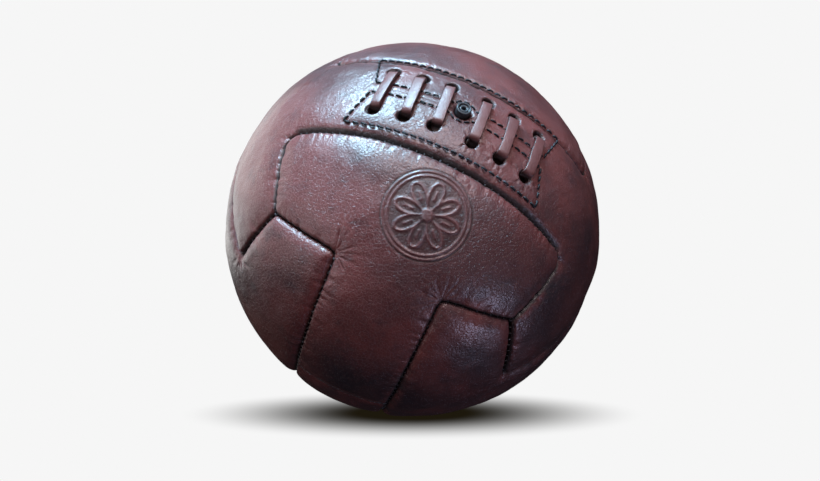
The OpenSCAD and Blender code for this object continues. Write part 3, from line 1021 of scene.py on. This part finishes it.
def leather_material():
    """Antiqued cowhide: dark patches over red-brown, rubbed edges, soiling and painted shade in the seams and
    round the holes, pebble grain.
    """
    m = Recipe("antiqued_leather")
    seam, grime_and_shade = m.mark("seam"), m.mark("grime_and_shade")
    # The dark patches come more often towards the bottom and the right, and a little towards the back
    side = m.vector("DOT_PRODUCT", m.where, (0.7, 0.4, -1.6))["Value"]
    patch = m.ramp(m.math("ADD", m.noise(42, 5, 0.62, 2.7, distortion=0.4), side), 0.5, 0.68)
    blotch = m.ramp(m.noise(11, 4, 0.6, 5.1), 0.5, 0.7)
    colour = m.mix(m.ramp(m.noise(60, 3, 0.5, 1.0), 0.4, 0.62), BROWN, RED_BROWN)
    colour = m.mix(m.math("MULTIPLY", patch, 0.5), colour, BLUE_BLACK)
    # Darker at the listed darker places, mostly low and on the right
    uneven = m.math("MULTIPLY", m.mark("place_darkening"), m.ramp(m.noise(16, 5, 0.65, 3.9), 0.3, 0.6, 0.35, 1.0))
    colour = m.mix(m.math("MINIMUM", uneven, 0.85), colour, BLUE_BLACK)
    colour = m.mix(m.math("MULTIPLY", blotch, 0.42), colour, BLUE_BLACK)
    colour = m.mix(m.ramp(m.noise(1.6, 4, 0.65, 7.3), 0.52, 0.72, 0.0, 0.42), colour, TAN)
    drawn_out = m.vector("MULTIPLY", m.shaken(30, 6, 4.0), (0.16, 1.0, 1.0))[0]
    scratch = m.ramp(m.noise(1.2, 2, 0.5, 8.4, where=drawn_out), 0.66, 0.74, 0.0, 0.45)
    scratch = m.math("MULTIPLY", scratch, m.ramp(m.noise(16, 3, 0.6, 2.2), 0.48, 0.62))
    colour = m.mix(scratch, colour, BLUE_BLACK)
    rubbed = m.math("MULTIPLY", m.ramp(seam, 0.8, 1.8), m.ramp(seam, 6.5, 2.0))
    rubbed = m.math("MULTIPLY", rubbed, m.ramp(m.noise(18, 3, 0.6, 9.9), 0.42, 0.62, 0.0, 0.75))
    colour = m.mix(rubbed, colour, RED_BROWN)
    # Lighter where the mark is below zero: wear on the rosette's raised lines
    colour = m.mix(m.ramp(grime_and_shade, 0.0, -0.5, 0.0, 0.4), colour, TAN)
    # Near black: painted shade and soiling at the bottom of each seam's groove and wherever the relief's mark
    # is set
    dirt_and_shade = m.math("MAXIMUM", m.ramp(seam, 1.4, 0.4), m.ramp(grime_and_shade, 0.1, 1.0))
    colour = m.mix(m.math("MULTIPLY", dirt_and_shade, 0.85), colour, NEAR_BLACK)
    pebble = m.ramp(m.cells(1.7, m.shaken(2.2, 0.7)), 0.0, 0.3)
    crack = m.ramp(m.cells(1.9, m.shaken(1.6, 1.1, 6.0)), 0.0, 0.055)
    crease = m.ramp(m.cells(5.2, m.shaken(6, 3.2, 3.0)), 0.0, 0.1)
    crease_part = m.ramp(m.noise(24, 2, 0.5, 4.4), 0.4, 0.6)
    normal = m.bumped(m.noise(7, 2, 0.5, 8.8), 0.45, None, 0.45)
    normal = m.bumped(m.math("MULTIPLY", crease, crease_part), 0.09, normal, 0.5)
    normal = m.bumped(pebble, 0.06, normal, 0.8)
    normal = m.bumped(crack, 0.1, normal, 0.8)
    normal = m.bumped(m.noise(0.7, 3, 0.6), 0.04, normal, 0.5)
    rough = m.ramp(m.noise(14, 5, 0.65, 6.2), 0.3, 0.7, 0.32, 0.5)
    rough = m.math("ADD", rough, m.math("MULTIPLY", dirt_and_shade, 0.2))
    return m.surface(
        Base_Color=colour, Roughness=rough, Normal=normal, IOR=1.5, Specular_IOR_Level=0.7,
        Coat_Weight=0.6, Coat_Roughness=0.3, Coat_Normal=normal,
    )


def lace_material():
    """A thong of paler leather, with painted shade and soiling where it goes down into the holes."""
    m = Recipe("lace_leather")
    colour = m.mix(m.noise(6, 4, 0.6, 1.2), (0.10, 0.033, 0.033, 1), (0.19, 0.07, 0.066, 1))
    colour = m.mix(m.ramp(m.noise(2.2, 4, 0.7, 3.3), 0.5, 0.75, 0.0, 0.6), colour, BROWN)
    colour = m.mix(m.math("MULTIPLY", m.mark("cut"), 0.75), colour, (0.035, 0.018, 0.016, 1))
    # Painted shade and soiling where the lace sinks into the holes
    colour = m.mix(m.math("MULTIPLY", m.mark("dip"), 0.85), colour, (0.02, 0.012, 0.01, 1))
    normal = m.bumped(m.noise(2.4, 5, 0.7), 0.4, None, 0.8)
    normal = m.bumped(m.cells(0.9, m.shaken(2, 0.6)), 0.08, normal, 0.7)
    rough = m.ramp(m.noise(4, 3, 0.5, 8.0), 0.3, 0.7, 0.32, 0.5)
    return m.surface(Base_Color=colour, Roughness=rough, Normal=normal, Specular_IOR_Level=0.75)


def thread_material(name, colour, worn):
    """Waxed thread with fine fibres."""
    m = Recipe(name)
    mixed = m.mix(m.ramp(m.noise(3.5, 3, 0.6, 2.0), 0.45, 0.7), colour, worn)
    normal = m.bumped(m.noise(0.25, 3, 0.6), 0.05, None, 0.8)
    return m.surface(Base_Color=mixed, Roughness=0.5, Normal=normal, Specular_IOR_Level=0.4)


def rubber_material(name, colour, rough):
    """Moulded rubber with dust and fine pits."""
    m = Recipe(name)
    dust = m.ramp(m.noise(1.6, 4, 0.65, 1.0), 0.45, 0.75, 0.0, 0.5)
    mixed = m.mix(dust, colour, (0.10, 0.105, 0.115, 1))
    normal = m.bumped(m.noise(0.4, 4, 0.6), 0.03, None, 0.7)
    return m.surface(Base_Color=mixed, Roughness=rough, Normal=normal)


def canvas_material():
    """Plain weave: two sets of threads at right angles."""
    m = Recipe("canvas_weave")
    inputs = {"Vector": m.shaken(8, 0.4), "Scale": 1 / (6.3 * MM)}
    warp = m.node("ShaderNodeTexWave", inputs, bands_direction="X").outputs["Fac"]
    weft = m.node("ShaderNodeTexWave", inputs, bands_direction="Z").outputs["Fac"]
    weave = m.math("MULTIPLY", warp, weft)
    colour = m.mix(m.noise(5, 4, 0.6), (0.20, 0.14, 0.09, 1), (0.34, 0.26, 0.17, 1))
    colour = m.mix(m.math("MULTIPLY", weave, 0.4), colour, (0.09, 0.06, 0.04, 1))
    return m.surface(Base_Color=colour, Roughness=0.85, Normal=m.bumped(weave, 0.2))


def inner_leather_material():
    """The plain flesh side of the tongue and the facings."""
    m = Recipe("inner_leather")
    colour = m.mix(m.noise(9, 5, 0.65), (0.05, 0.026, 0.018, 1), (0.12, 0.062, 0.042, 1))
    normal = m.bumped(m.noise(0.8, 5, 0.7), 0.25)
    return m.surface(Base_Color=colour, Roughness=0.8, Normal=normal)


def dress_inner_nodes(rubber, hide):
    """Gives the CAD nodes that stay their better materials."""
    for name in ("bladder", "tongue", "upper_facing", "lower_facing"):
        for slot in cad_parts[name].material_slots:
            slot.material = rubber if name == "bladder" else hide


# --- Studio ---

# Metres from the ball's centre, degrees above level and the lens in millimetres
CAMERA_AWAY = 0.396
CAMERA_HEIGHT = 6.0
CAMERA_LENS = 28.4
CAMERA_SHIFT = (-0.0029, -0.0135)
LIGHT_AWAY = 0.9
# Each light's name, the way it lies from the ball, its size, watts and colour
LIGHTS = [
    ("overhead", (-0.25, -0.18, 0.95), (0.42, 0.46), 23.5, (0.47, 0.78, 1.0)),
    ("front_top", (0.14, -0.66, 0.72), (0.6, 0.4), 4.2, (1.0, 0.85, 0.86)),
    ("left_window", (-0.8, 0.5, 0.15), (1.0, 0.7), 3.2, (0.95, 0.94, 0.93)),
    ("left_front", (-0.86, -0.5, -0.03), (0.3, 0.5), 0.8, (1.0, 0.93, 0.95)),
    ("low_fill", (0.52, -0.5, -0.6), (0.22, 0.26), 1.1, (0.66, 0.68, 1.0)),
]
DOME_FACING = (0.25, -0.55, 0.8)
DOME_COLOUR = (0.96, 0.92, 1.0, 1)
DOME_LOW = 0.008
DOME_HIGH = 0.2
# The painted shadow: half its length and width, and how far it lies in front of the ball's foot
SHADOW_SIZE = (0.143, 0.040)
SHADOW_FORWARD = 0.016
SHADOW_COLOUR = (0.012, 0.009, 0.004, 1)
FLOOR_HALF = 40.0
BACKGROUND = (0.922, 0.922, 0.922, 1)


def centre():
    return (Vector(CAD_BOX[0]) + Vector(CAD_BOX[1])) / 2


def aimed(place, target):
    return (Vector(target) - Vector(place)).to_track_quat("-Z", "Y").to_euler()


def make_camera():
    rise = math.radians(CAMERA_HEIGHT)
    data = bpy.data.cameras.new("camera")
    camera = bpy.data.objects.new("camera", data)
    camera.location = centre() + CAMERA_AWAY * Vector((0, -math.cos(rise), math.sin(rise)))
    camera.rotation_euler = aimed(camera.location, centre())
    data.lens = CAMERA_LENS
    data.shift_x, data.shift_y = CAMERA_SHIFT
    bpy.context.collection.objects.link(camera)
    bpy.context.scene.camera = camera


def make_lights():
    for name, way, size, watts, colour in LIGHTS:
        data = bpy.data.lights.new(name, "AREA")
        data.shape = "RECTANGLE"
        data.size, data.size_y = size
        data.energy = watts
        data.color = colour
        light = bpy.data.objects.new(name, data)
        light.location = centre() + Vector(way).normalized() * LIGHT_AWAY
        light.rotation_euler = aimed(light.location, centre())
        bpy.context.collection.objects.link(light)


def make_world():
    """White behind the ball, but only a dim, faintly violet dome, dark below, as a light on it."""
    m = Recipe("studio", bpy.data.worlds)
    bpy.context.scene.world = m.made
    facing = m.vector("DOT_PRODUCT", m.coordinates["Generated"], DOME_FACING)["Value"]
    inputs = {"Value": facing, "From Min": -0.1, "From Max": 1.0, "To Min": DOME_LOW, "To Max": DOME_HIGH}
    strength = m.node("ShaderNodeMapRange", inputs).outputs["Result"]
    dim = m.node("ShaderNodeBackground", {"Color": DOME_COLOUR, "Strength": strength}).outputs[0]
    seen = m.node("ShaderNodeBackground", {"Color": BACKGROUND}).outputs[0]
    to_camera = m.node("ShaderNodeLightPath", {}).outputs["Is Camera Ray"]
    mixed = m.node("ShaderNodeMixShader", {0: to_camera, 1: dim, 2: seen}).outputs[0]
    m.node("ShaderNodeOutputWorld", {"Surface": mixed})


def floor_material():
    """A white sweep that gives its own light, with the photo's wide, shallow shadow painted on it."""
    m = Recipe("pale_floor")
    shifted = m.vector("ADD", m.where, (0.0, SHADOW_FORWARD, 0.0))[0]
    scaled = m.vector("MULTIPLY", shifted, (1 / SHADOW_SIZE[0], 1 / SHADOW_SIZE[1], 0.0))[0]
    away = m.vector("LENGTH", scaled)["Value"]
    open_sky = m.ramp(away, 0.22, 0.99)
    shade = m.math("SUBTRACT", 1.0, m.math("POWER", open_sky, 1.15))
    paper = m.mix(shade, BACKGROUND, SHADOW_COLOUR)
    glow = m.node("ShaderNodeEmission", {"Color": paper}).outputs[0]
    m.node("ShaderNodeOutputMaterial", {"Surface": glow})
    return m.made


def make_floor():
    """A floor at the ball's foot, left out of the ball's light and reflections."""
    data = bpy.data.meshes.new("floor")
    z = CAD_BOX[0][2]
    corners = [(x * FLOOR_HALF, y * FLOOR_HALF, z) for x, y in ((-1, -1), (1, -1), (1, 1), (-1, 1))]
    data.from_pydata(corners, [], [(0, 1, 2, 3)])
    data.materials.append(floor_material())
    floor = bpy.data.objects.new("floor", data)
    floor.visible_diffuse = False
    floor.visible_glossy = False
    floor.visible_shadow = False
    bpy.context.collection.objects.link(floor)


bpy.context.scene.view_settings.view_transform = "Standard"
make_camera()
LEATHER_LOOK = leather_material()
CANVAS_LOOK = canvas_material()
RUBBER_LOOK = rubber_material("valve_rubber", (0.03, 0.033, 0.04, 1), 0.38)
INSERT_LOOK = rubber_material("insert_rubber", (0.05, 0.056, 0.066, 1), 0.34)
BLADDER_LOOK = rubber_material("bladder_rubber", (0.012, 0.012, 0.013, 1), 0.6)
make_panels(LEATHER_LOOK, CANVAS_LOOK)
make_lace(lace_material())
make_rim_stitches(thread_material("black_thread", (0.007, 0.009, 0.013, 1), (0.03, 0.036, 0.048, 1)))
make_seam_stitches(thread_material("seam_thread", (0.02, 0.014, 0.013, 1), (0.10, 0.10, 0.12, 1)))
make_valve(RUBBER_LOOK, INSERT_LOOK)
dress_inner_nodes(BLADDER_LOOK, inner_leather_material())
make_floor()
make_world()
make_lights()
